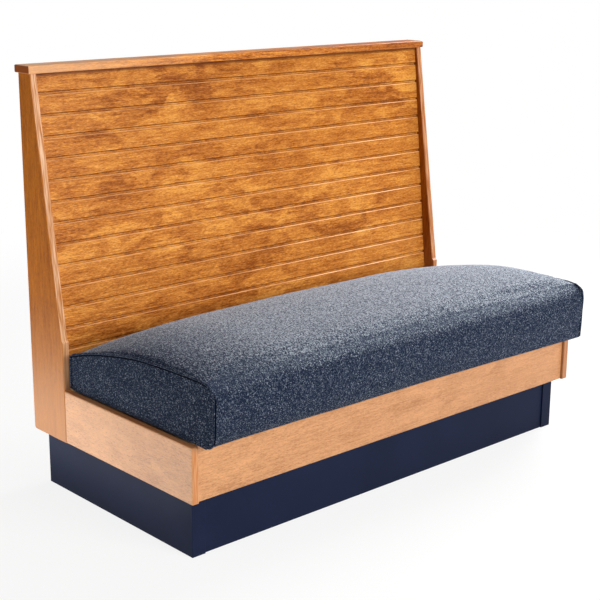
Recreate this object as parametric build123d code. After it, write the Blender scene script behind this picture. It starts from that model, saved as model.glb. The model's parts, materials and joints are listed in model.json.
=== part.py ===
from build123d import *
from math import atan2, cos, degrees, hypot, sin
import os

os.makedirs("parts", exist_ok=True)

# A single-sided restaurant booth: toe-kick base, plywood seat box, upholstered lift-off seat
# and a raked plywood back with milled channels, under a cap. All lengths are in millimetres.
# X runs along the seat, the sitter faces -Y, Z is up and the floor is Z 0.

# Overall form
booth_width = 1360.0
booth_height = 1067.0
base_height = 146.0
seat_box_height = 136.0
seat_panel_depth = 510.0
back_foot_depth = 146.0
back_head_depth = 50.0
panel_thickness = 19.0
rail_thickness = 19.0
cut_overrun = 5.0
panel_round = 3.0

# Base
base_side_inset = 24.0
base_front_inset = 34.0
base_rear_inset = 24.0
base_side_thickness = 38.0
base_arris = 1.0
kick_recess = 4.0
block_leg = 45.0
base_block_height = 100.0

# Seat box
front_board_recess = 9.0
front_board_arris = 1.5
cleat_width = 38.0
cleat_thickness = 19.0
seat_block_height = 97.0
support_place_shares = (-0.25, 0.0, 0.25)

# Back
kink_height = 404.0
kink_step = 5.0
foot_round = 8.0
cap_thickness = 19.0
cap_front_overhang = 4.0
cap_side_overhang = 4.0
cap_rear_overhang = 10.0
cap_round = 3.0
face_panel_thickness = 16.0
face_foot_gap = 7.0
face_foot_lap = 15.0
face_head_recess = 8.0
channel_pitch = 52.3
channel_width = 6.5
channel_depth = 5.0
channel_arris = 1.5
rear_panel_thickness = 6.0
top_rail_height = 60.0
foot_rail_height = 90.0
dowel_diameter = 8.0
dowel_length = 30.0
dowel_cap_depth = 11.0
dowel_play = 0.1
dowel_place_shares = (-0.4, -0.2, 0.0, 0.2, 0.4)

# Seat cushion
seat_end_inset = 21.0
seat_back_gap = 10.0
seat_rest_gap = 0.3
nose_overhang = 57.0
cover_thickness = 2.0
cover_return = 30.0
foam_play = 0.3
deck_thickness = 16.0
nose_height_end = 102.0
nose_height_middle = 110.0
tuck_end = 38.0
tuck_middle = 26.0
brow_height_end = 145.0
brow_height_middle = 165.0
brow_setback_end = 39.0
brow_setback_middle = 47.0
crown_height_end = 144.5
crown_height_middle = 172.0
shoulder_height_end = 92.0
shoulder_height_middle = 132.0
shoulder_depth_end = 12.0
shoulder_depth_middle = 18.0
shoulder_drop_end = 14.0
shoulder_drop_middle = 22.0
crown_place_share = 0.52
station_count = 8
station_spread_power = 2.0
crown_rise_power = 12.0
crown_round_power = 0.6
tuck_rise_power = 3.0
shoulder_rise_power = 4.3
locating_block_length = 60.0
locating_block_width = 28.0
locating_block_drop = 24.0
locating_play = 1.5

# Fasteners
bolt_place_shares = (-0.375, -0.125, 0.125, 0.375)
bolt_diameter = 8.0
bolt_hole_diameter = 9.0
bolt_head_flats = 13.0
bolt_head_height = 5.3
bolt_tip = 2.0
washer_diameter = 24.0
washer_thickness = 2.0
nut_height = 6.5
thread_play = 0.1
screw_diameter = 4.5
screw_head_diameter = 9.0
screw_length = 50.0
screw_play = 0.1
side_screw_shares = (0.2, 0.5, 0.8)

# Places that several pieces share
half_width = booth_width / 2
inner_half = half_width - panel_thickness
booth_depth = seat_panel_depth + back_foot_depth
total_depth = nose_overhang + booth_depth + cap_rear_overhang
front_y = nose_overhang - total_depth / 2
joint_y = front_y + seat_panel_depth
rear_y = front_y + booth_depth
rear_inner_y = rear_y - rear_panel_thickness
seat_top = base_height + seat_box_height
cap_underside = booth_height - cap_thickness
top_rail_underside = cap_underside - top_rail_height
head_front_y = rear_y - back_head_depth
kick_front_y = front_y + base_front_inset + kick_recess
kick_rear_y = kick_front_y + rail_thickness
base_rear_y = rear_y - base_rear_inset
base_half = half_width - base_side_inset
front_board_y = front_y + front_board_recess
front_board_rear_y = front_board_y + panel_thickness
seat_rail_front_y = joint_y - rail_thickness
lower_rail_rear_y = joint_y + rail_thickness
seat_underside = seat_top + seat_rest_gap
seat_half = half_width - seat_end_inset
seat_rear_y = joint_y - seat_back_gap
deck_underside = seat_underside + cover_thickness
cleat_top = base_height + cleat_thickness
support_places = [share * 2 * inner_half for share in support_place_shares]
bolt_places = [share * 2 * inner_half for share in bolt_place_shares]

# The raked face of the back, from under the cap down past the top of the seat box
face_head_y = head_front_y + face_head_recess
face_foot_y = lower_rail_rear_y + face_foot_gap
face_run = face_head_y - face_foot_y
face_drop = cap_underside - seat_top
rake = atan2(face_run, face_drop)
face_length = hypot(face_run, face_drop) + face_foot_lap
channel_count = int((face_length - face_foot_lap) / channel_pitch)


def plank(x_limits, y_limits, z_limits):
    """A square-edged piece between three pairs of limits."""
    spans = [high - low for low, high in (x_limits, y_limits, z_limits)]
    middles = [(low + high) / 2 for low, high in (x_limits, y_limits, z_limits)]
    return Pos(*middles) * Box(*spans)


def profile(points, x_start, x_end):
    """A closed outline of (y, z) points, run along the seat from x_start to x_end."""
    outline = Plane.YZ.offset(x_start) * make_face(Polyline(*points, close=True))
    return extrude(outline, x_end - x_start)


def down_the_back(distance, depth):
    """The (y, z) place a distance down the raked face from the cap and a depth behind it."""
    y = face_head_y - distance * sin(rake) + depth * cos(rake)
    z = cap_underside - distance * cos(rake) - depth * sin(rake)
    return (y, z)


def behind_face(z):
    """The y of the face panel's rear side at one height."""
    distance = (cap_underside - z - face_panel_thickness * sin(rake)) / cos(rake)
    return down_the_back(distance, face_panel_thickness)[0]


def place_name(place):
    """The side of the booth that a left or right hand piece belongs to."""
    return "left" if place < 0 else "right"


def save(name, piece):
    """Writes one node."""
    export_step(piece, f"parts/{name}.step")


def screw_hole_places():
    """The places of the screws that hold the seat box down on the base."""
    front = [(x, (kick_front_y + kick_rear_y) / 2) for x in bolt_places]
    side_x = base_half - base_side_thickness / 2
    side_run = seat_rail_front_y - front_board_rear_y
    side_y = [front_board_rear_y + share * side_run for share in side_screw_shares]
    return front + [(sign * side_x, y) for sign in (-1, 1) for y in side_y]


def screw(play):
    """A countersunk wood screw pointing down, its head flush with Z 0."""
    radius = screw_diameter / 2 + play
    head = screw_head_diameter / 2 + play
    outline = Polyline(
        (0, 0), (head, 0), (radius, radius - head), (radius, -screw_length - play),
        (0, -screw_length - play), close=True)
    return revolve(Plane.XZ * make_face(outline), Axis.Z)


def base_screws(play):
    """The screws through the cleats into the base, or their holes."""
    return [Pos(x, y, cleat_top) * screw(play) for x, y in screw_hole_places()]


def along_bolts(radius, y_start, y_end):
    """Round bars or holes on the axes of the bolts between seat box and back."""
    z = base_height + seat_box_height / 2
    turn = Rot(-90, 0, 0)
    bar = Cylinder(radius, y_end - y_start, align=(Align.CENTER, Align.CENTER, Align.MIN))
    return [Pos(x, y_start, z) * turn * bar for x in bolt_places]


def hexagons(y_start, height):
    """Hexagon heads or nuts on the same axes."""
    z = base_height + seat_box_height / 2
    head = extrude(RegularPolygon(bolt_head_flats / 2, 6, major_radius=False), height)
    return [Pos(x, y_start, z) * Rot(-90, 0, 0) * head for x in bolt_places]


def corner_blocks(x_half, y_front, y_back, z_low, height):
    """Triangular glue blocks in the four inner corners of a box."""
    blocks = []
    for x_sign in (-1, 1):
        for y_corner, y_sign in ((y_front, 1), (y_back, -1)):
            corner = (x_sign * x_half, y_corner)
            along_x = (corner[0] - x_sign * block_leg, y_corner)
            along_y = (corner[0], y_corner + y_sign * block_leg)
            outline = make_face(Polyline(corner, along_x, along_y, close=True))
            blocks.append(extrude(Plane.XY.offset(z_low) * outline, height))
    return blocks


def base():
    """The toe-kick plinth that the booth stands on."""
    holes = base_screws(screw_play)
    member_z = (0, base_height)
    front = front_y + base_front_inset
    inner_base = base_half - base_side_thickness
    for sign in (-1, 1):
        x_limits = sorted((sign * base_half, sign * inner_base))
        side = plank(x_limits, (front, base_rear_y), member_z)
        side = fillet(side.edges().filter_by(Axis.Z), base_arris)
        save(f"base_side_{place_name(sign)}", side - holes)
    kick = plank((-inner_base, inner_base), (kick_front_y, kick_rear_y), member_z)
    save("base_kick_board", kick - holes)
    rail_front = base_rear_y - rail_thickness
    rail = plank((-inner_base, inner_base), (rail_front, base_rear_y), member_z)
    save("base_rear_rail", rail)
    for number, x in enumerate(support_places, 1):
        x_limits = (x - rail_thickness / 2, x + rail_thickness / 2)
        save(f"base_brace_{number}", plank(x_limits, (kick_rear_y, rail_front), member_z))
    block_z = (base_height - base_block_height) / 2
    blocks = corner_blocks(inner_base, kick_rear_y, rail_front, block_z, base_block_height)
    save("base_corner_blocks", Compound(children=blocks))


def seat_side_panel(sign):
    """One end panel of the seat box, rounded wherever no other piece meets its edges."""
    x_limits = sorted((sign * half_width, sign * inner_half))
    panel = plank(x_limits, (front_y, joint_y), (base_height, seat_top))
    inner_edges = panel.faces().sort_by(Axis.X)[0 if sign > 0 else -1].edges()
    met = panel.edges().filter_by(Axis.X).group_by(Axis.Y)[-1]
    met += inner_edges.sort_by(Axis.Y)[-1:] + inner_edges.sort_by(Axis.Z)[:1]
    return fillet([edge for edge in panel.edges() if edge not in met], panel_round)


def seat_box():
    """The open box of panels, rails and cleats that carries the seat."""
    screw_holes = base_screws(screw_play)
    box_z = (base_height, seat_top)
    inner_x = (-inner_half, inner_half)
    for sign in (-1, 1):
        save(f"seat_side_{place_name(sign)}", seat_side_panel(sign))
    front = plank(inner_x, (front_board_y, front_board_rear_y), box_z)
    front_edges = front.edges().filter_by(Axis.X).group_by(Axis.Y)[0]
    save("seat_front_board", fillet(front_edges, front_board_arris))
    rear = plank(inner_x, (seat_rail_front_y, joint_y), box_z)
    save("seat_rear_rail", rear - bolt_holes())
    for number, x in enumerate(support_places, 1):
        x_limits = (x - rail_thickness / 2, x + rail_thickness / 2)
        y_limits = (front_board_rear_y, seat_rail_front_y)
        save(f"seat_cross_rail_{number}", plank(x_limits, y_limits, (cleat_top, seat_top)))
    cleat_z = (base_height, cleat_top)
    front_end = front_board_rear_y + cleat_width
    rear_end = seat_rail_front_y - cleat_width
    front_cleat = plank(inner_x, (front_board_rear_y, front_end), cleat_z)
    save("seat_cleat_front", front_cleat - screw_holes)
    save("seat_cleat_rear", plank(inner_x, (rear_end, seat_rail_front_y), cleat_z))
    for sign in (-1, 1):
        x_limits = sorted((sign * inner_half, sign * (inner_half - cleat_width)))
        cleat = plank(x_limits, (front_end, rear_end), cleat_z)
        save(f"seat_cleat_{place_name(sign)}", cleat - screw_holes)
    blocks = corner_blocks(
        inner_half, front_board_rear_y, seat_rail_front_y, cleat_top, seat_block_height)
    save("seat_corner_blocks", Compound(children=blocks))


def bolt_holes():
    """The clearance holes through the two rails that are bolted together."""
    low = seat_rail_front_y - cut_overrun
    high = lower_rail_rear_y + cut_overrun
    return along_bolts(bolt_hole_diameter / 2, low, high)


def back_panel(x_limits):
    """One end panel of the back: upright below the kink, raked above it."""
    kink = (joint_y, kink_height)
    step = (joint_y + kink_step, kink_height + kink_step)
    outline = Polyline(
        (rear_y, base_height), (joint_y, base_height), kink, step,
        (head_front_y, cap_underside), (rear_y, cap_underside), close=True)
    face = make_face(outline)
    foot = face.vertices().sort_by(Axis.Y)[:2].sort_by(Axis.X)[-1]
    face = fillet(foot, foot_round)
    low, high = x_limits
    panel = extrude(Plane.YZ.offset(low) * face, high - low)
    front_edges = []
    for side in panel.faces().filter_by(Axis.X):
        upright, step_edge, raked = side.edges().sort_by(Axis.Y)[:3]
        front_edges += [upright, step_edge, raked]
    return fillet(front_edges, panel_round)


def face_panel():
    """The raked plywood face that a sitter leans on, with its milled channels."""
    points = [(0, face_panel_thickness), (0, 0)]
    for number in range(1, channel_count + 1):
        end = number * channel_pitch
        start = end - channel_width
        points += [
            (start - channel_arris, 0), (start, channel_arris), (start, channel_depth),
            (end, channel_depth), (end, channel_arris), (end + channel_arris, 0)]
    points += [(face_length, 0), (face_length, face_panel_thickness)]
    outline = [down_the_back(distance, depth) for distance, depth in points]
    return profile(outline, -inner_half, inner_half)


def back_rib(x_middle):
    """An upright tapered rib that the face panel is fixed to."""
    foot_rail_front = rear_inner_y - rail_thickness
    step_depth = (lower_rail_rear_y - face_head_y + face_length * sin(rake)) / cos(rake)
    foot_rail_top = base_height + foot_rail_height
    outline = [
        (behind_face(top_rail_underside), top_rail_underside),
        down_the_back(face_length, face_panel_thickness),
        down_the_back(face_length, step_depth), (lower_rail_rear_y, base_height),
        (foot_rail_front, base_height), (foot_rail_front, foot_rail_top),
        (rear_inner_y, foot_rail_top), (rear_inner_y, top_rail_underside)]
    return profile(outline, x_middle - rail_thickness / 2, x_middle + rail_thickness / 2)


def dowels(play):
    """The dowels between top rail and cap, or their holes."""
    y = (behind_face(cap_underside) + rear_inner_y) / 2
    low = cap_underside + dowel_cap_depth - dowel_length
    bar = Cylinder(
        dowel_diameter / 2 + play, dowel_length + 2 * play,
        align=(Align.CENTER, Align.CENTER, Align.MIN))
    return [Pos(share * 2 * inner_half, y, low - play) * bar for share in dowel_place_shares]


def back():
    """The raked back: end panels, ribs, rails, channelled face, rear panel and cap."""
    inner_x = (-inner_half, inner_half)
    for sign in (-1, 1):
        x_limits = sorted((sign * half_width, sign * inner_half))
        save(f"back_side_{place_name(sign)}", back_panel(x_limits))
    save("back_face_panel", face_panel())
    end_place = inner_half - rail_thickness / 2
    for number, x in enumerate([-end_place] + support_places + [end_place], 1):
        save(f"back_rib_{number}", back_rib(x))
    top_rail = profile(
        [(behind_face(cap_underside), cap_underside),
         (behind_face(top_rail_underside), top_rail_underside),
         (rear_inner_y, top_rail_underside), (rear_inner_y, cap_underside)], *inner_x)
    save("back_top_rail", top_rail - dowels(dowel_play))
    lower_rail = plank(inner_x, (joint_y, lower_rail_rear_y), (base_height, seat_top))
    save("back_lower_rail", lower_rail - bolt_holes())
    foot_rail_y = (rear_inner_y - rail_thickness, rear_inner_y)
    foot_rail_z = (base_height, base_height + foot_rail_height)
    save("back_foot_rail", plank(inner_x, foot_rail_y, foot_rail_z))
    save("back_rear_panel", plank(inner_x, (rear_inner_y, rear_y), (base_height, cap_underside)))
    cap_x = half_width + cap_side_overhang
    cap_y = (head_front_y - cap_front_overhang, rear_y + cap_rear_overhang)
    cap = plank((-cap_x, cap_x), cap_y, (cap_underside, booth_height))
    cap = fillet(cap.edges().filter_by(Axis.X) + cap.edges().filter_by(Axis.Y), cap_round)
    save("top_cap", cap - dowels(dowel_play))
    save("cap_dowels", Compound(children=dowels(0)))


def crown_growth(distance, half_length):
    """How far the crown has risen at a distance from the end seam, from 0 to 1."""
    share = 1 - (1 - distance / half_length) ** crown_rise_power
    return share ** crown_round_power


def tuck_growth(distance, half_length):
    """How far the cover is drawn in under the nose at a distance from the end seam."""
    return 1 - (1 - distance / half_length) ** tuck_rise_power


def shoulder_growth(distance, half_length):
    """How far the rear edge has risen at a distance from the end seam, slower than the crown."""
    return 1 - (1 - distance / half_length) ** shoulder_rise_power


def between(low, high, share):
    """A value part of the way from low to high."""
    return low + share * (high - low)


def cushion_outline(x, half_length, inset):
    """The closed outline of the cushion across its depth at one place along its length."""
    distance = half_length - abs(x)
    crown = crown_growth(distance, half_length)
    rear = shoulder_growth(distance, half_length)
    tuck = between(tuck_end, tuck_middle, tuck_growth(distance, half_length))
    low = seat_underside + inset
    nose_y = front_y - nose_overhang + inset
    back_y = seat_rear_y - inset
    nose = (nose_y, seat_underside + between(nose_height_end, nose_height_middle, crown))
    toe = (front_y - tuck + inset, low)
    heel = (back_y, low)
    brow_z = seat_underside - inset + between(brow_height_end, brow_height_middle, crown)
    brow = (nose_y + between(brow_setback_end, brow_setback_middle, crown), brow_z)
    shoulder_z = seat_underside - inset + between(shoulder_height_end, shoulder_height_middle, rear)
    shoulder_depth = between(shoulder_depth_end, shoulder_depth_middle, rear)
    shoulder = (back_y - shoulder_depth, shoulder_z)
    corner = (back_y, shoulder_z - between(shoulder_drop_end, shoulder_drop_middle, rear))
    crown_z = seat_underside - inset + between(crown_height_end, crown_height_middle, crown)
    crown_point = (between(brow[0], shoulder[0], crown_place_share), crown_z)
    edges = [
        TangentArc(nose, toe, tangent=(0, -1)),
        Line(toe, heel),
        Line(heel, corner),
        TangentArc(corner, shoulder, tangent=(0, 1)),
        ThreePointArc(shoulder, crown_point, brow),
        TangentArc(nose, brow, tangent=(0, 1))]
    return Plane.YZ.offset(x) * make_face(edges)


def cushion_form(inset):
    """The crowned form of the seat, drawn in by an inset all round."""
    half_length = seat_half - inset
    shares = [(number / station_count) ** station_spread_power for number in range(station_count)]
    left = [half_length * (share - 1) for share in shares]
    places = left + [0] + [-place for place in reversed(left)]
    return loft([cushion_outline(x, half_length, inset) for x in places], ruled=True)


def seat():
    """The upholstered seat that lifts off the box: deck, foam, cover and locating blocks."""
    deck_x = seat_half - cover_thickness - foam_play
    deck_front = front_y - tuck_middle + cover_thickness + foam_play
    deck_rear = seat_rear_y - cover_thickness - foam_play
    deck_z = (deck_underside, deck_underside + deck_thickness)
    deck = plank((-deck_x, deck_x), (deck_front, deck_rear), deck_z)
    save("seat_deck", deck)
    foam = cushion_form(cover_thickness + foam_play) - deck
    save("seat_foam", foam)
    opening_x = seat_half - cover_return
    opening_y = (front_board_rear_y, seat_rear_y - cover_return)
    opening_z = (seat_underside - cut_overrun, deck_underside)
    opening = plank((-opening_x, opening_x), opening_y, opening_z)
    cover = cushion_form(0) - cushion_form(cover_thickness) - opening
    save("seat_cover", cover)
    block_z = (deck_underside - locating_block_drop, deck_underside)
    front_start = front_board_rear_y + locating_play
    rear_end = opening_y[1]
    blocks = []
    for x in (support_places[0], support_places[-1]):
        sign = -1 if x < 0 else 1
        face = x + sign * (rail_thickness / 2 + locating_play)
        x_limits = sorted((face, face + sign * locating_block_length))
        for start in (front_start, rear_end - locating_block_width):
            blocks.append(plank(x_limits, (start, start + locating_block_width), block_z))
    save("seat_locating_blocks", Compound(children=blocks))


def fasteners():
    """The bolts, washers and nuts between seat box and back, and the base screws."""
    head_start = seat_rail_front_y - washer_thickness - bolt_head_height
    nut_start = lower_rail_rear_y + washer_thickness
    shank_start = seat_rail_front_y - washer_thickness
    shank_end = nut_start + nut_height + bolt_tip
    heads = hexagons(head_start, bolt_head_height)
    shanks = along_bolts(bolt_diameter / 2, shank_start, shank_end)
    bolts = [head + shank for head, shank in zip(heads, shanks)]
    save("back_bolts", Compound(children=bolts))
    bores = along_bolts(bolt_hole_diameter / 2, head_start, shank_end)
    washers = []
    for start in (shank_start, lower_rail_rear_y):
        discs = along_bolts(washer_diameter / 2, start, start + washer_thickness)
        washers += [disc - bore for disc, bore in zip(discs, bores)]
    save("back_bolt_washers", Compound(children=washers))
    threads = along_bolts(bolt_diameter / 2 + thread_play, head_start, shank_end)
    nuts = [nut - thread for nut, thread in zip(hexagons(nut_start, nut_height), threads)]
    save("back_bolt_nuts", Compound(children=nuts))
    save("base_screws", Compound(children=base_screws(0)))


base()
seat_box()
back()
seat()
fasteners()
print("channels", channel_count, "rake in degrees", round(degrees(rake), 2))
print("overall depth", total_depth, "front edge of the seat panels at y", front_y)
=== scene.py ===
"""The looks of a restaurant booth seat: stained birch plywood, a tweed cushion and a dark toe-kick."""

import json
import math

import bmesh
import bpy
import numpy as np
from mathutils import Matrix, Vector, noise
from mathutils.kdtree import KDTree


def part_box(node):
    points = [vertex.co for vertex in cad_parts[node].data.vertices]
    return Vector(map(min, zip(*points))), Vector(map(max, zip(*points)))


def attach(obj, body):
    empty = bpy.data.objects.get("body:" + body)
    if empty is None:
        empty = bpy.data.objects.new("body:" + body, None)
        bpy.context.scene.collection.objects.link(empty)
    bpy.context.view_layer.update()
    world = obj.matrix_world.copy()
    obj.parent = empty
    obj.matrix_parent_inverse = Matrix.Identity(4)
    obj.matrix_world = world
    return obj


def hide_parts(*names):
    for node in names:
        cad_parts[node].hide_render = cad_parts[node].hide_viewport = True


bl_info = {
    "name": "Restaurant booth seat",
    "version": (1, 0, 0),
    "blender": (4, 5, 0),
    "location": "3D View > Sidebar > Booth",
    "description": "Finishes a booth seat: lacquered birch plywood, a crowned tweed cushion and a toe-kick",
    "category": "Object",
}

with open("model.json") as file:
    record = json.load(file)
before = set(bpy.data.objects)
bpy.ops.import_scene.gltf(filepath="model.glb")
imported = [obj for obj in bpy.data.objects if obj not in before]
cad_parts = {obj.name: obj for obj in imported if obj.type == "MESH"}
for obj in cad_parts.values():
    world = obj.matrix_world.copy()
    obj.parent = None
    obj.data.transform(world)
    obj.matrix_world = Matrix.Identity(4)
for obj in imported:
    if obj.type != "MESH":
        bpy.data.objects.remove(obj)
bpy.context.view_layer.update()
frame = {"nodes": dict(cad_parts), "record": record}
nodes = frame["nodes"]

MM = 0.001
# The sockets of a mix node by their places, because it has one of each name for every kind of data.
MIX_FACTOR = 0
COLOUR_A, COLOUR_B, COLOUR_RESULT = 6, 7, 2
NUMBER_A, NUMBER_B, NUMBER_RESULT = 2, 3, 0

# The cushion's measures in metres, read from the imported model.
CUSHION_LOW, CUSHION_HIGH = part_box("seat_cover")
CUSHION_HALF = CUSHION_HIGH.x
DECK_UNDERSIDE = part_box("seat_deck")[0].z
# How far the deck lies inside the cover's outer face.
FOAM_PLAY = CUSHION_HIGH.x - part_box("seat_deck")[1].x

# The cushion's form. Its outline across the depth is drawn at the end seam and at the middle, each as points of
# depth and height in millimetres: up the front, back over the top and down the rear. Depths count from the nose
# and heights from the underside. The crown rises quickly from the end seam at the front and slowly at the rear.
END_FRONT = ((20, 0), (6, 14), (4, 74), (6, 133), (28, 149))
END_TOP = ((28, 149), (62, 152), (180, 151), (289, 146), (402, 129), (485, 111), (543, 95))
END_REAR = ((543, 95), (556, 87), (559, 68), (559, 0))
MIDDLE_FRONT = ((30, 0), (12, 30), (0, 88), (10, 130), (44, 154))
MIDDLE_TOP = ((44, 154), (84, 163), (180, 168), (289, 168), (402, 160), (485, 146), (536, 132))
MIDDLE_REAR = ((536, 132), (552, 117), (557, 95), (557, 0))
SLOW_FRONT, SLOW_TOP, SLOW_REAR = (0, 0, 0, 0, 0), (0, 0, 0.1, 0.3, 0.65, 0.9, 1), (1, 1, 1, 1)
QUICK_REACH, SLOW_REACH = 10 * MM, 150 * MM
# How far the foot of the front is drawn in behind the nose, from left to right, in millimetres.
FOOT_LINE = ((-659, 29), (-561, 31), (-385, 31), (-192, 28), (22, 28), (243, 22), (487, 14), (659, 10))
CUSHION_CUTS = (119, 53, 19)
# How strongly the mesh is crowded towards the ends, and towards the other edges.
CROWD_LENGTH, CROWD_DEPTH = 0.88, 0.6
END_BULGE = 3 * MM
END_FLARE, FLARE_REACH = 4 * MM, 30 * MM
# The lowest corners are rounded, most of all at the front, in millimetres, and less further from the ends.
CORNER_HEIGHT, CORNER_FRONT, CORNER_SIDE, CORNER_REACH = 17, 13, 1.5, 18
CORNER_INWARD = 20 * MM

# The rolled seams: their steps from front to rear, and how far above the underside they and their painted
# shadow gutters end.
SEAM_STEPS = 60
SEAM_FOOT, GUTTER_FOOT = 6 * MM, 15 * MM
# A foot is drawn in by this share of the way to a point inside the cushion.
FOOT_TUCK = 0.02
# Where bead and gutter, the dark tube of painted seam shadow, lie beside the cushion's edge, in radii of the
# bead.
BEAD_OUT, BEAD_UP = 0.5, 0.6
GUTTER_OUT, GUTTER_BACK, GUTTER_DOWN, GUTTER_BEFORE, GUTTER_BEHIND = 0.1, 0.5, 1.25, 1.3, 2
# The small gathers beside a seam: where they start and fade, their waves in a metre along each axis, and the
# gain that brings most of a wave up to the depth set.
GATHER_START, GATHER_FADE, GATHER_GRAIN, GATHER_GAIN = 5 * MM, 14 * MM, (8, 40, 40), 4
# The broad unevenness of the filling: its depth, and its waves in a metre.
BROAD_DEPTH, BROAD_GRAIN = 1.5 * MM, 5.5
# Both are left out below the calm foot, and grow to their full depth over the rise above it.
CALM_FOOT, CALM_RISE = 5 * MM, 60 * MM

# The cloth that is blown up over the form, and where it is held.
CLOTH = {
    "quality": 5, "mass": 0.3, "tension_stiffness": 15, "compression_stiffness": 15, "shear_stiffness": 10,
    "bending_stiffness": 5, "use_pressure": True, "pin_stiffness": 1}
CLOTH_FRAMES, EVENING_STEPS = 20, 24
HELD_AT_SEAM, HELD_AT_FOOT = 3 * MM, 8 * MM
# The cloth this near an end or the rear swells less.
END_DEPTH, REAR_DEPTH = 0.5 * MM, 12 * MM
# How far the bare deck shows above the turned cloth, seen from below.
DECK_RECESS = 6 * MM

# Each lamp's name, place, target, width and height in metres, and the setting of its power.
LAMPS = (
    ("key_lamp", (0.7, -5.0, 2.1), (0.0, 0.25, 0.5), (2.5, 2.5), "key"),
    ("top_lamp", (2.3, 0.3, 1.9), (0.6, -0.05, 0.45), (1.2, 1.2), "top"),
    ("left_lamp", (-3.2, 0.1, 1.0), (-0.68, 0.1, 0.5), (1.6, 1.2), "left"),
    ("left_bounce", (-0.98, 0.5, 0.01), (-0.98, 0.5, 1.0), (0.45, 1.2), "left_bounce"))
# In metres.
FLOOR_SIZE = 60


def curve_point(points, portion):
    """A point on a smooth curve through a few points, at a portion of the way along them."""
    spans = len(points) - 1
    place = min(max(portion, 0.0), 1.0) * spans
    span = min(int(place), spans - 1)
    part = place - span
    first, second = Vector(points[span]), Vector(points[span + 1])
    before = Vector(points[span - 1]) if span else first * 2 - second
    after = Vector(points[span + 2]) if span + 2 <= spans else second * 2 - first
    chord = (second - first).length
    enter = (second - before) * chord / max((second - before).length, 1e-9)
    leave = (after - first) * chord / max((after - first).length, 1e-9)
    t2, t3 = part ** 2, part ** 3
    return (first * (2 * t3 - 3 * t2 + 1) + enter * (t3 - 2 * t2 + part)
            + second * (3 * t2 - 2 * t3) + leave * (t3 - t2))


def along(points, x):
    """The second value of a list of pairs at a place of the first, eased between them."""
    for (low, first), (high, second) in zip(points, points[1:]):
        if x <= high:
            part = min(max((x - low) / (high - low), 0), 1)
            return first + (second - first) * (3 - 2 * part) * part ** 2
    return points[-1][1]


def crowded(value, amount):
    """A place from -1 to 1 moved outwards, so that even steps crowd near both ends."""
    turn = math.pi / 2 * amount
    return math.sin(value * turn) / math.sin(turn)


def cushion_place(u, v, w):
    """A point of the cushion from a point of a block: u runs along the seat, v front to rear and w upwards."""
    x = crowded(u, CROWD_LENGTH) * CUSHION_HALF
    v, w = [(crowded(part, CROWD_DEPTH) + 1) / 2 for part in (v, w)]
    inward = CUSHION_HALF - abs(x)
    quick = 1 - math.exp(-math.sqrt(inward / QUICK_REACH))
    slow = 1 - math.exp(-inward / SLOW_REACH)
    foot = along(FOOT_LINE, x / MM)
    curves = []
    for end, middle, lag, portion in (
            (END_FRONT, MIDDLE_FRONT, SLOW_FRONT, w), (END_TOP, MIDDLE_TOP, SLOW_TOP, v),
            (END_REAR, MIDDLE_REAR, SLOW_REAR, 1 - w)):
        points = [
            Vector(low).lerp(Vector(high), quick + (slow - quick) * late)
            for low, high, late in zip(end, middle, lag)]
        if end is END_FRONT:
            # The foot follows its line, and draws the point above it in after it, more so away from the ends.
            points[0].x = foot
            points[1].x = max(points[1].x, points[2].x + (foot - points[2].x) * (0.2 + 0.3 * quick))
        curves.append((points, curve_point(points, portion)))
    (front_points, front), (top_points, top), (rear_points, rear) = curves
    toe, heel = front_points[0], rear_points[-1]
    brow, shoulder = top_points[0], top_points[-1]
    floor = toe.lerp(heel, v)
    corners = toe.lerp(heel, v) * (1 - w) + brow.lerp(shoulder, v) * w
    place = floor * (1 - w) + top * w + front * (1 - v) + rear * v - corners
    bulge = END_BULGE * 16 * v * (1 - v) * w * (1 - w) if abs(u) > 0.9999 else 0
    bulge += END_FLARE * v * math.exp(-inward / FLARE_REACH)
    low = max(0, 1 - place.y / CORNER_HEIGHT)
    rounding = CORNER_FRONT * math.exp(-max(0, place.x) / CORNER_REACH) + CORNER_SIDE
    bulge -= rounding * MM * (1 - math.sqrt(1 - low ** 2)) * math.exp(-inward / CORNER_INWARD)
    x += math.copysign(bulge, u)
    return Vector((x, CUSHION_LOW.y + place.x * MM, CUSHION_LOW.z + place.y * MM))


def linear(hex_colour):
    """An sRGB hex colour as a linear red, green and blue."""
    channels = [int(hex_colour[place:place + 2], 16) / 255 for place in (1, 3, 5)]
    return tuple(c / 12.92 if c <= 0.04045 else ((c + 0.055) / 1.055) ** 2.4 for c in channels)


def colour(name, hex_colour, description):
    """A colour that a user can change."""
    return bpy.props.FloatVectorProperty(
        name=name, description=description, subtype="COLOR", size=3, min=0, max=1, default=linear(hex_colour))


def length(name, millimetres, description):
    """A length that a user can change."""
    return bpy.props.FloatProperty(
        name=name, description=description, subtype="DISTANCE", unit="LENGTH", default=millimetres * MM)


def power(name, watts, description):
    """A lamp's power that a user can change."""
    return bpy.props.FloatProperty(name=name, description=description, unit="POWER", min=0, default=watts)


def share(name, value, description, high=1.0):
    """A share or strength that a user can change."""
    return bpy.props.FloatProperty(name=name, description=description, min=0, max=high, default=value)


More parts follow.
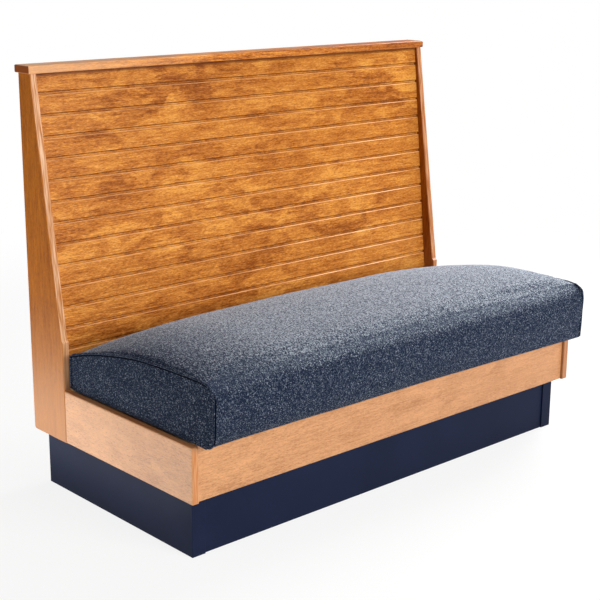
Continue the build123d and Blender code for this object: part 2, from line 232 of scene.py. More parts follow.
class BoothWood(bpy.types.PropertyGroup):
    """Stain and lacquer of the shown birch plywood, and the bare wood inside."""
    light: colour("Light figure", "#E6A14B", "Stained birch where the figure is light")
    body: colour("Body", "#C2762F", "Stained birch over most of the face")
    rail: colour("Rail", "#AA6424", "Stained birch of the back's side panels")
    dark: colour("Dark figure", "#854211", "Stained birch where the figure is dark")
    # This colour also paints the shade under the channels' upper lips and the shadow under the cap.
    pore_and_shade: colour("Pores", "#5A2A0E", "Stain that has settled in the pores and checks")
    edge: colour("Sanded edge", "#DDA87A", "Arrises where sanding has thinned the stain")
    pale: colour("Pale veneer", "#CC9464", "Veneer of the seat box, which took less stain")
    raw: colour("Bare plywood", "#C9A878", "Unfinished birch plywood inside")
    pine: colour("Bare softwood", "#D2AE7B", "Unfinished pine blocks and cleats")
    grain: length("Grain", 1.8, "Width of a grain line")
    ply: length("Ply", 2.6, "Thickness of one ply on a cut edge")
    roughness: share("Lacquer roughness", 0.34, "Satin lacquer")


class BoothCloth(bpy.types.PropertyGroup):
    """Tweed of the seat's cover."""
    shade: colour("Shade yarn", "#0A101D", "Darkest navy yarn")
    body: colour("Body yarn", "#151F34", "Navy grey yarn that makes most of the cloth")
    worn: colour("Worn yarn", "#303A4B", "Greyer yarn where the nap is worn")
    fleck: colour("Fleck yarn", "#9AA1AA", "Pale grey fleck")
    yarn: length("Yarn", 1.6, "Spacing of the flecks")
    # Painted light on the top of the cushion: how far up the yarn's tones it lifts.
    painted_top_light: share("Nap", 0.33, "How much further up the yarn's tones the top lies")
    sheen: share("Sheen", 0.25, "Fuzz of the wool yarn seen along the surface")
    fuzz: colour("Fuzz", "#DCE0EA", "Colour of that fuzz")


class BoothFittings(bpy.types.PropertyGroup):
    """Coating of the toe-kick, and the steel and foam inside."""
    kick: colour("Toe-kick", "#19223C", "Dark navy coating of the base")
    kick_deep: colour("Deep toe-kick", "#141C33", "The same coating where it clouds darker")
    zinc: colour("Zinc", "#C9CBCD", "Zinc plate of bolts and screws")
    zinc_deep: colour("Deep zinc", "#A9ACB0", "Darker crystals of the zinc")
    foam: colour("Foam", "#EADFBC", "Cut foam between its cells")
    foam_deep: colour("Foam cells", "#C9B98E", "Open cells of the foam")


class BoothCushion(bpy.types.PropertyGroup):
    """Build of the crowned cushion."""
    pressure: share("Pressure", 4.0, "How hard the foam pushes the cover", high=20.0)
    swell: length("Swell", 6.0, "The most that the top and front may swell")
    end_swell: length("End swell", 3.0, "The most that the ends and the rear may swell")
    bead: length("Seam bead", 5.6, "Width of the rolled seam round each end")
    # The seam gutter is a dark tube of painted shadow for the sewn fold.
    gutter: length("Seam gutter", 3.2, "Width of the sewn fold beside the rolled seam")
    pucker: length("Pucker", 0.7, "Depth of the small gathers beside each seam")
    cover_return: length("Cover return", 30, "Width of the cloth that is turned under the deck")


class BoothStage(bpy.types.PropertyGroup):
    """Floor, lamps and camera."""
    floor: colour("Floor", "#E8E8E8", "Pale studio floor")
    white: share("White", 0.85, "Share of pure white that the floor shows to the eye")
    world: share("World", 0.22, "Level of the even light from all round", high=2.0)
    key: power("Key", 262, "Large soft lamp in front, a little to the right")
    top: power("Top", 128, "Soft lamp high on the right, aimed at the right end of the seat")
    left: power("Left", 27, "Soft lamp on the left")
    left_bounce: power("Left bounce", 3, "Reflector on the floor beside the left end")
    eye: bpy.props.FloatVectorProperty(
        name="Eye", description="Where the camera stands", subtype="XYZ", unit="LENGTH",
        default=(-2.3409, -2.4698, 1.3566))
    yaw: bpy.props.FloatProperty(
        name="Yaw", description="Turn from straight ahead", subtype="ANGLE", default=math.radians(42.42))
    pitch: bpy.props.FloatProperty(
        name="Pitch", description="Tilt below the horizon", subtype="ANGLE", default=math.radians(-15.14))
    roll: bpy.props.FloatProperty(
        name="Roll", description="Turn about the view", subtype="ANGLE", default=math.radians(0.41))
    lens: bpy.props.FloatProperty(
        name="Lens", description="Focal length on a 36 mm sensor", unit="CAMERA", default=79.67)


def settings():
    """The user's sizes and colours."""
    return bpy.context.scene


def fill(tree, node, sockets):
    """Gives each named socket of a node a value, or a link from an output."""
    for socket, value in sockets.items():
        if isinstance(value, bpy.types.NodeSocket):
            tree.links.new(value, node.inputs[socket])
        else:
            node.inputs[socket].default_value = value


def add(tree, kind, sockets=None, stops=(), **options):
    """Adds a node to a tree, with its options, its ramp's stops and what its named sockets take."""
    node = tree.nodes.new(kind)
    for name, value in options.items():
        setattr(node, name, value)
    fill(tree, node, sockets or {})
    if stops:
        elements = node.color_ramp.elements
        while len(elements) < len(stops):
            elements.new(1.0)
        for element, (place, value) in zip(elements, stops):
            element.position = place
            element.color = value if len(value) == 4 else rgba(value)
    return node


def new_material(name):
    """An empty material, its node tree and its shader."""
    material = bpy.data.materials.new(name)
    material.use_nodes = True
    tree = material.node_tree
    tree.nodes.clear()
    shader = add(tree, "ShaderNodeBsdfPrincipled")
    add(tree, "ShaderNodeOutputMaterial", {"Surface": shader.outputs["BSDF"]})
    return material, tree, shader


def grey(level):
    """A grey for a ramp that carries a number."""
    return (level, level, level, 1.0)


def rgba(value):
    """A colour with its alpha, as a socket takes it."""
    return (*value, 1.0)


def tinted(tone, *strengths):
    """A colour made stronger or weaker, by one strength or by one for each channel."""
    strengths = strengths * 3 if len(strengths) == 1 else strengths
    return [part * strength for part, strength in zip(tone, strengths)]


def mixed(tree, factor, first, second, blend="MIX"):
    """A colour mixed from two, by a factor."""
    sockets = {MIX_FACTOR: factor, COLOUR_A: first, COLOUR_B: second}
    return add(tree, "ShaderNodeMix", sockets, data_type="RGBA", blend_type=blend).outputs[COLOUR_RESULT]


def blended(tree, factor, first, second):
    """A number mixed from two, by a factor."""
    sockets = {MIX_FACTOR: factor, NUMBER_A: first, NUMBER_B: second}
    return add(tree, "ShaderNodeMix", sockets, data_type="FLOAT").outputs[NUMBER_RESULT]


def calculated(tree, operation, *values):
    """The result of one sum on numbers or outputs."""
    return add(tree, "ShaderNodeMath", dict(enumerate(values)), operation=operation).outputs[0]


def ranged(tree, value, low, high, to_low=0.0, to_high=1.0, smooth=False):
    """A value carried from one range to another and kept within it, eased at both ends where it is smooth."""
    sockets = {"Value": value, "From Min": low, "From Max": high, "To Min": to_low, "To Max": to_high}
    easing = "SMOOTHSTEP" if smooth else "LINEAR"
    return add(tree, "ShaderNodeMapRange", sockets, interpolation_type=easing).outputs["Result"]


def ramp(tree, value, *stops):
    """A colour read from a value, by stops of a place and a colour each."""
    return add(tree, "ShaderNodeValToRGB", {"Fac": value}, stops).outputs["Color"]


def pattern(tree, space, scale, detail, roughness=0.5, distortion=0.0):
    """A cloudy pattern from 0 to 1."""
    sockets = {
        "Vector": space, "Scale": scale, "Detail": detail, "Roughness": roughness, "Distortion": distortion}
    return add(tree, "ShaderNodeTexNoise", sockets).outputs["Fac"]


def bump(tree, strength, depth, height):
    """A shader's normal, bumped by a pattern."""
    sockets = {"Strength": strength, "Distance": depth, "Height": height}
    return add(tree, "ShaderNodeBump", sockets).outputs["Normal"]


def object_space(tree):
    """The piece's own coordinates, in metres."""
    return add(tree, "ShaderNodeTexCoord").outputs["Object"]


def surface_normal(tree):
    """The direction that the piece's surface faces."""
    return add(tree, "ShaderNodeTexCoord").outputs["Normal"]


def on_axis(tree, vector, axis):
    """One axis of a vector output."""
    return add(tree, "ShaderNodeSeparateXYZ", {"Vector": vector}).outputs[axis]


def reach(tree, vector, direction):
    """How far a vector output reaches along a direction."""
    product = add(tree, "ShaderNodeVectorMath", {0: vector, 1: direction}, operation="DOT_PRODUCT")
    return product.outputs["Value"]


def grain_space(tree, grain, along, across):
    """Object coordinates scaled so that one unit is a figure's length along the grain and its width across."""
    scale = [1 / (along if axis == grain else across) for axis in "XYZ"]
    return add(tree, "ShaderNodeMapping", {"Vector": object_space(tree), "Scale": scale}).outputs["Vector"]


def facing(tree, axis, low, high):
    """A mask from 0 to 1 as a face turns towards an axis, or either way along one that is written as |X|."""
    part = on_axis(tree, surface_normal(tree), axis.strip("|"))
    if axis.startswith("|"):
        part = calculated(tree, "ABSOLUTE", part)
    return ranged(tree, part, low, high, smooth=True)


def summed(tree, layers):
    """Patterns added by weight about a middle of one half."""
    total = 0.5 - sum(weight for _, weight in layers) / 2
    for output, weight in layers:
        total = calculated(tree, "MULTIPLY_ADD", output, weight, total)
    return total


def stained_birch(name, grain, tones, figure, weights, ply_axis=None, edge=None, coat=0.0):
    """Birch under a golden stain and satin lacquer: patchy figure, silky streaks, fine grain and dark checks.

    The tones are light, body and dark. Figure is a patch's length along the grain and its width, in metres.
    The weights are those of the patches, wide patches, clouds, streaks and fine grain. Cut edges show plies
    across the ply axis, in the edge colour. Grain lines, checks and plies are finer in the real wood, and are
    drawn coarse enough to show.
    """
    wood = settings().booth_wood
    light, body, dark = tones
    material, tree, shader = new_material(name)

    # Patches with uneven, half sharp edges, as rotary-cut birch shows where its fibres lean, and soft clouds.
    space = grain_space(tree, grain, *figure)
    patch = ranged(tree, pattern(tree, space, 1.0, 5.0, 0.62, 0.7), 0.47, 0.54, smooth=True)
    wide = ranged(tree, pattern(tree, space, 0.42, 4.0, 0.6, 0.4), 0.44, 0.56, smooth=True)
    cloud = pattern(tree, space, 1.7, 3.0, 0.6)

    # Silky streaks and fine grain lines along the fibres.
    streaks = pattern(tree, grain_space(tree, grain, 70 * MM, 5 * MM), 1.0, 4.0, 0.6)
    fine = pattern(tree, grain_space(tree, grain, 6 * wood.grain, wood.grain), 1.0, 3.0, 0.75)
    figured = summed(tree, list(zip((cloud, streaks, fine), weights[2:])))

    # The figure is strong in some places and faint in others.
    strength = ranged(tree, pattern(tree, space, 0.3, 2.0), 0.4, 0.6, 0.15, 1.4)
    patches = calculated(tree, "SUBTRACT", summed(tree, [(patch, weights[0]), (wide, weights[1])]), 0.5)
    figured = calculated(tree, "MULTIPLY_ADD", patches, strength, figured)
    stain = ramp(tree, figured, (0.05, dark), (0.5, body), (0.95, light))

    # Short dark checks where stain has settled in the pores.
    checks = pattern(tree, grain_space(tree, grain, 9 * MM, 1.5 * MM), 1.0, 2.0)
    settled = ramp(tree, checks, (0.28, grey(0.5)), (0.42, grey(0.0)))
    shown = mixed(tree, settled, stain, rgba(wood.pore_and_shade))

    if ply_axis:
        banded = [(first + second) / 2 for first, second in zip(body, edge)]
        plies = pattern(tree, grain_space(tree, ply_axis, wood.ply, 60 * MM), 1.0, 1.0)
        ply_tone = ramp(tree, plies, (0.3, body), (0.5, banded), (0.68, edge))
        shown = mixed(tree, facing(tree, f"|{ply_axis}|", 0.75, 0.35), shown, ply_tone)

    gloss = ranged(tree, streaks, 0.3, 0.7, wood.roughness - 0.05, wood.roughness + 0.07)
    fill(tree, shader, {
        "Base Color": shown, "Normal": bump(tree, 0.2, 0.2 * MM, figured), "Roughness": gloss, "IOR": 1.5,
        "Specular IOR Level": 0.12, "Coat Weight": coat, "Coat Roughness": 0.25})
    return material, tree, shader, shown


def channelled_birch():
    """Stained birch plywood with milled channels, painted shade under each upper lip, and a lower lip paled by
    sanding and painted highlight.
    """
    wood = settings().booth_wood
    material, tree, shader, shown = stained_birch(
        "stained_birch_channelled", "X", (wood.light, wood.body, wood.dark),
        (120 * MM, 44 * MM), (0.2, 0.17, 0.6, 1.1, 1.8))
    place = object_space(tree)
    # Painted shade, darker towards the upper right.
    painted_shade_upper_right = ranged(tree, reach(tree, place, (0.4, 0, 1)), 0.5, 1.1)
    shown = mixed(tree, painted_shade_upper_right, shown, rgba((0.8, 0.78, 0.7)), blend="MULTIPLY")
    # Painted shade on faces that turn downwards, under each upper lip.
    shown = mixed(tree, facing(tree, "Z", -0.15, -0.55), shown, rgba(wood.pore_and_shade))

    # Sanding thins the stain on the lips unevenly, so their pale line fades in and out. The line is also a
    # painted highlight, with a painted glint that is strongest at the lower right.
    lip = calculated(tree, "MULTIPLY", facing(tree, "Z", 0.35, 0.6), facing(tree, "Z", 0.98, 0.85))
    rubbed = pattern(tree, grain_space(tree, "X", 120 * MM, 50 * MM), 1.0, 3.0, 0.6)
    painted_glint_lower_right = reach(tree, place, (0.8, 0, -0.9))
    lip = calculated(tree, "MULTIPLY", lip, ranged(tree, rubbed, 0.35, 0.65, 0.35, 0.9))
    lip = calculated(tree, "MULTIPLY", lip, ranged(tree, painted_glint_lower_right, -0.6, 0.2, 0.7, 1.6))
    shown = mixed(tree, lip, shown, rgba([min(1, part) for part in tinted(wood.edge, 1.4)]))

    # Painted shadow under the cap's overhang.
    painted_shadow_under_cap = ranged(tree, on_axis(tree, place, "Z"), 1.037, 1.043, to_high=0.8)
    fill(tree, shader, {"Base Color": mixed(tree, painted_shadow_under_cap, shown, rgba(wood.pore_and_shade))})
    return material


def back_side_birch():
    """Stained birch plywood of the back's sides, with pale cut edges, a painted floor reflection towards the
    foot and painted shade on the right.
    """
    wood = settings().booth_wood
    tones = [tinted(tone, 1, 0.92, 0.3) for tone in (wood.body, wood.rail, wood.dark)]
    material, tree, shader, shown = stained_birch(
        "stained_birch_back_side", "Z", tones, (150 * MM, 20 * MM), (0.1, 0.15, 0.5, 1.2, 1.2),
        ply_axis="X", edge=tinted(wood.edge, 1, 1.12, 1.35), coat=0.1)
    place = object_space(tree)
    # Painted reflection of the bright floor, paling the face towards the foot.
    foot = ranged(tree, on_axis(tree, place, "Z"), 0.56, 0.16, to_high=0.62, smooth=True)
    # Painted shade on the right panel.
    right = ranged(tree, on_axis(tree, place, "X"), -0.6, 0.6)
    shown = mixed(tree, foot, shown, rgba(wood.pale))
    shown = mixed(tree, right, shown, rgba((0.7, 0.58, 0.48)), blend="MULTIPLY")
    fill(tree, shader, {"Base Color": shown})
    return material


def cap_birch():
    """Stained solid birch of the cap: paler towards the left end, darker towards the right, and dark end grain.
    """
    wood = settings().booth_wood
    tones = (wood.light, tinted(wood.body, 1.15), wood.dark)
    material, tree, shader, shown = stained_birch(
        "stained_birch_cap", "X", tones, (150 * MM, 20 * MM), (0.15, 0.15, 1.0, 1.4, 2.0), coat=0.1)
    across = on_axis(tree, object_space(tree), "X")
    paler_left = ranged(tree, across, -0.1, -0.65, to_high=0.75)
    strong = ranged(tree, across, -0.1, 0.6, to_high=0.62)
    shown = mixed(tree, paler_left, shown, rgba(wood.edge))
    shown = mixed(tree, strong, shown, rgba(wood.dark), blend="MULTIPLY")
    shown = mixed(tree, facing(tree, "|X|", 0.5, 0.9), shown, rgba(wood.dark))
    fill(tree, shader, {"Base Color": shown})
    return material


def seat_box_birch(name, grain, weights, dark_end, depth, ply_axis=None):
    """Birch plywood of the seat box, which took less stain, and darker towards the X of its dark end."""
    pale = settings().booth_wood.pale
    dark = tinted(pale, 0.68, 0.56, 0.46)
    material, tree, shader, shown = stained_birch(
        name, grain, (tinted(pale, 1.3), pale, dark), (110 * MM, 40 * MM), weights, ply_axis=ply_axis,
        edge=tinted(pale, 0.8, 0.48, 0.2), coat=0.5)
    deep = ranged(tree, on_axis(tree, object_space(tree), "X"), -dark_end, dark_end, to_high=depth)
    fill(tree, shader, {"Base Color": mixed(tree, deep, shown, rgba(tinted(dark, 0.7)))})
    return material


def toe_kick_coating():
    """Dark navy toe-kick coating: smooth, half matt, with a faint orange peel."""
    coats = settings().booth_fittings
    material, tree, shader = new_material("toe_kick_coating")
    place = object_space(tree)
    tone = ramp(tree, pattern(tree, place, 5.0, 4.0), (0.3, coats.kick_deep), (0.7, coats.kick))
    right = ranged(tree, on_axis(tree, place, "X"), -0.65, 0.65)
    tone = mixed(tree, right, tone, rgba((0.6, 0.6, 0.64)), blend="MULTIPLY")
    peel = pattern(tree, place, 1 / (4 * MM), 2.0)
    fill(tree, shader, {
        "Base Color": tone, "Normal": bump(tree, 0.12, 0.1 * MM, peel), "Roughness": 0.45,
        "Specular IOR Level": 0.07})
    return material


def wool_tweed():
    """Woven wool tweed: dark navy yarn with pale flecks, painted light on the top, and a fuzz that pales where
    it is seen along.
    """
    cloth = settings().booth_cloth
    material, tree, shader = new_material("wool_tweed")
    place = object_space(tree)

    # Each yarn end shows as one small cell, with a scatter of pale ones. Real yarn is finer, and is drawn
    # coarse enough to show, and longer from front to rear where the cloth lies level.
    drawn = []
    for depth in (0.8, 0.55):
        spread = add(tree, "ShaderNodeMapping", {"Vector": place, "Scale": (1, depth, 1)}).outputs["Vector"]
        cells = add(tree, "ShaderNodeTexVoronoi", {
            "Vector": spread, "Scale": 1 / cloth.yarn, "Randomness": 1.0}).outputs["Color"]
        cell_tone = add(tree, "ShaderNodeSeparateColor", {"Color": cells}).outputs[0]
        fibres = pattern(tree, spread, 1 / (2.5 * cloth.yarn), 4.0, 0.8)
        drawn.append(blended(tree, 0.45, cell_tone, ranged(tree, fibres, 0.3, 0.7)))
    fleck = blended(tree, facing(tree, "Z", 0.7, 0.98), *drawn)

    # Painted light and sheen: more of the pale fibres show as the cloth leans up, rearwards and to the right,
    # where the top lamp falls, and painted shade holds it back at the left end.
    painted_top_light = ranged(tree, reach(tree, surface_normal(tree), (0.5, 0.4, 0.77)), 0.0, 0.87, to_high=cloth.painted_top_light)
    painted_shade_left_end = ranged(tree, on_axis(tree, place, "X"), -0.66, -0.36, 0.2, 1.0)
    painted_light_fleck = calculated(tree, "MULTIPLY_ADD", painted_top_light, painted_shade_left_end, fleck)
    yarn = ramp(tree, painted_light_fleck, (0.15, cloth.shade), (0.5, cloth.body), (0.68, cloth.worn), (0.95, cloth.fleck))
    fill(tree, shader, {
        "Base Color": yarn, "Normal": bump(tree, 0.5, 0.5 * MM, fleck), "Roughness": 0.9,
        "Specular IOR Level": 0.1, "Sheen Weight": cloth.sheen, "Sheen Roughness": 0.25,
        "Sheen Tint": rgba(cloth.fuzz)})
    return material


def sewn_gutter():
    """Painted shadow of the deep sewn fold beside a rolled seam, in the darkest yarn's tones."""
    cloth = settings().booth_cloth
    material, tree, shader = new_material("sewn_gutter")
    twist = pattern(tree, object_space(tree), 1 / cloth.yarn, 2.0)
    tone = ramp(tree, twist, (0.3, tinted(cloth.shade, 0.4)), (0.75, cloth.shade))
    fill(tree, shader, {"Base Color": tone, "Roughness": 1.0, "Specular IOR Level": 0.05})
    return material


def bare_plywood():
    """Unfinished birch plywood: pale rotary-cut face with soft figure, dry and matt."""
    raw = settings().booth_wood.raw
    material, tree, shader, _ = stained_birch(
        "bare_birch_plywood", "X", (tinted(raw, 1.18), raw, tinted(raw, 0.78)), (110 * MM, 40 * MM),
        (0.1, 0.15, 0.5, 0.5, 0.6))
    fill(tree, shader, {"Specular IOR Level": 0.3})
    return material


def bare_pine():
    """Unfinished pine: growth rings as wide wavy lines, dry and matt."""
    pine = settings().booth_wood.pine
    material, tree, shader = new_material("bare_pine")
    rings = add(tree, "ShaderNodeTexWave", {
        "Vector": object_space(tree), "Scale": 1 / (28 * MM), "Distortion": 2.0, "Detail": 2.0,
        "Detail Scale": 0.4}, bands_direction="Z").outputs["Fac"]
    tone = ramp(tree, rings, (0.1, tinted(pine, 0.7)), (0.45, pine))
    fill(tree, shader, {"Base Color": tone, "Normal": bump(tree, 0.2, 0.2 * MM, rings), "Roughness": 0.75})
    return material


def zinc_plate():
    """Zinc-plated steel: cool grey metal with a faint crystal mottle."""
    coats = settings().booth_fittings
    material, tree, shader = new_material("zinc_plated_steel")
    mottle = pattern(tree, object_space(tree), 1 / (3 * MM), 3.0)
    fill(tree, shader, {
        "Base Color": ramp(tree, mottle, (0.3, coats.zinc_deep), (0.7, coats.zinc)),
        "Roughness": ranged(tree, mottle, 0.0, 1.0, 0.3, 0.45), "Metallic": 1.0})
    return material


def foam_rubber():
    """Cut polyurethane foam: pale cream with fine open cells."""
    coats = settings().booth_fittings
    material, tree, shader = new_material("polyurethane_foam")
    cells = add(tree, "ShaderNodeTexVoronoi", {
        "Vector": object_space(tree), "Scale": 1 / (1.5 * MM)}).outputs["Distance"]
    tone = ramp(tree, cells, (0.2, coats.foam_deep), (0.6, coats.foam))
    fill(tree, shader, {"Base Color": tone, "Normal": bump(tree, 0.6, 0.4 * MM, cells), "Roughness": 0.95})
    return material


def dress(names, material):
    """Gives a material to CAD nodes."""
    for name in names:
        mesh = nodes[name].data
        if mesh.materials:
            for place in range(len(mesh.materials)):
                mesh.materials[place] = material
        else:
            mesh.materials.append(material)


class BOOTH_OT_stage(bpy.types.Operator):
    """Makes the pale floor, the soft lamps and the camera"""
    bl_idname = "booth.stage"
    bl_label = "Stage"

    def execute(self, context):
        stage = context.scene.booth_stage
        bpy.ops.object.select_all(action="DESELECT")
        bpy.ops.mesh.primitive_plane_add(size=FLOOR_SIZE)
        floor = context.object
        floor.name = "studio_floor"
        floor.data.materials.append(self.floor_material(stage))
        for name, place, target, sides, setting in LAMPS:
            self.lamp(name, place, target, sides, getattr(stage, setting))
        turn = (Matrix.Rotation(-stage.yaw, 3, "Z") @ Matrix.Rotation(math.pi / 2 + stage.pitch, 3, "X")
                @ Matrix.Rotation(stage.roll, 3, "Z"))
        bpy.ops.object.camera_add(location=stage.eye, rotation=turn.to_euler())
        camera = context.object
        camera.name = "photo_camera"
        camera.data.lens = stage.lens
        context.scene.camera = camera
        self.sky(context.scene, stage)
        context.scene.view_settings.view_transform = "Standard"
        return {"FINISHED"}

    def lamp(self, name, place, target, sides, watts):
        """A rectangular soft lamp aimed at a point."""
        aim = (Vector(target) - Vector(place)).to_track_quat("-Z", "Y").to_euler()
        bpy.ops.object.light_add(type="AREA", location=place, rotation=aim)
        lamp = bpy.context.object
        lamp.name = name
        lamp.data.shape = "RECTANGLE"
        lamp.data.size, lamp.data.size_y = sides
        lamp.data.energy = watts
        lamp.visible_camera = False

    def floor_material(self, stage):
        """Matt white paper that keeps the booth's soft shadow: white to the eye and, near by, in gloss."""
        material, tree, shader = new_material("studio_paper")
        fill(tree, shader, {"Base Color": rgba(stage.floor), "Roughness": 0.9, "Specular IOR Level": 0.1})
        distance = add(tree, "ShaderNodeVectorMath", {0: object_space(tree)}, operation="LENGTH")
        far = ranged(tree, distance.outputs["Value"], 1.3, 3.2, smooth=True)
        to_eye = ranged(tree, far, 0.0, 1.0, stage.white, 1.0)
        in_gloss = ranged(tree, far, 0.0, 1.0, stage.white, 0.05)
        rays = add(tree, "ShaderNodeLightPath").outputs
        glossy = calculated(tree, "MAXIMUM", rays["Is Glossy Ray"], rays["Is Transmission Ray"])
        glossy = calculated(tree, "MULTIPLY", glossy, in_gloss)
        part = calculated(tree, "MULTIPLY_ADD", rays["Is Camera Ray"], to_eye, glossy)
        white = add(tree, "ShaderNodeEmission", {"Strength": 1.0}).outputs["Emission"]
        both = add(tree, "ShaderNodeMixShader", {0: part, 1: shader.outputs["BSDF"], 2: white})
        fill(tree, tree.nodes["Material Output"], {"Surface": both.outputs["Shader"]})
        return material

    def sky(self, scene, stage):
        """Even pale air, white to the eye, and in gloss white overhead."""
        world = bpy.data.worlds.new("studio_air")
        world.use_nodes = True
        tree = world.node_tree
        rays = add(tree, "ShaderNodeLightPath").outputs
        seen = calculated(tree, "MAXIMUM", rays["Is Camera Ray"], rays["Is Glossy Ray"])
        seen = calculated(tree, "MAXIMUM", seen, rays["Is Transmission Ray"])
        height = on_axis(tree, add(tree, "ShaderNodeTexCoord").outputs["Generated"], "Z")
        overhead = ranged(tree, height, 0.1, 0.5, smooth=True)
        overhead = calculated(tree, "MAXIMUM", overhead, rays["Is Camera Ray"])
        level = ranged(tree, calculated(tree, "MULTIPLY", seen, overhead), 0.0, 1.0, stage.world, 1.0)
        fill(tree, tree.nodes["Background"], {"Color": rgba(linear("#FFFFFF")), "Strength": level})
        scene.world = world


class BOOTH_OT_back_face(bpy.types.Operator):
    """Finishes the milled face of the back"""
    bl_idname = "booth.back_face"
    bl_label = "Channelled face"

    def execute(self, context):
        dress(["back_face_panel"], channelled_birch())
        return {"FINISHED"}


class BOOTH_OT_panels(bpy.types.Operator):
    """Finishes the side panels of the back and of the seat box, and the front board"""
    bl_idname = "booth.panels"
    bl_label = "Side panels and front board"

    def execute(self, context):
        dress(["back_side_left", "back_side_right"], back_side_birch())
        dress(["seat_side_left", "seat_side_right"], seat_box_birch(
            "stained_birch_seat_side", "Y", (0.06, 0.12, 0.5, 0.6, 1.0), 0.6, 0.75, ply_axis="X"))
        dress(["seat_front_board"], seat_box_birch(
            "stained_birch_front_board", "X", (0.1, 0.16, 0.5, 1.1, 1.8), 1.3, 0.7))
        return {"FINISHED"}


class BOOTH_OT_top_cap(bpy.types.Operator):
    """Finishes the cap over the back"""
    bl_idname = "booth.top_cap"
    bl_label = "Top cap"

    def execute(self, context):
        dress(["top_cap"], cap_birch())
        return {"FINISHED"}


class BOOTH_OT_toe_kick(bpy.types.Operator):
    """Finishes the dark base"""
    bl_idname = "booth.toe_kick"
    bl_label = "Toe-kick"

    def execute(self, context):
        dress(["base_side_left", "base_side_right", "base_kick_board", "base_rear_rail"], toe_kick_coating())
        return {"FINISHED"}


class BOOTH_OT_carcass(bpy.types.Operator):
    """Finishes the bare plywood, pine, foam and steel inside"""
    bl_idname = "booth.carcass"
    bl_label = "Inner pieces"

    def execute(self, context):
        slots = {part["node"]: part["material_slot"] for part in frame["record"]["subparts"]}
        finishes = {
            "plywood": bare_plywood(), "softwood": bare_pine(), "zinc_steel": zinc_plate(),
            "foam": foam_rubber()}
        for slot, material in finishes.items():
            dress([name for name in sorted(nodes) if slots[name] == slot], material)
        return {"FINISHED"}


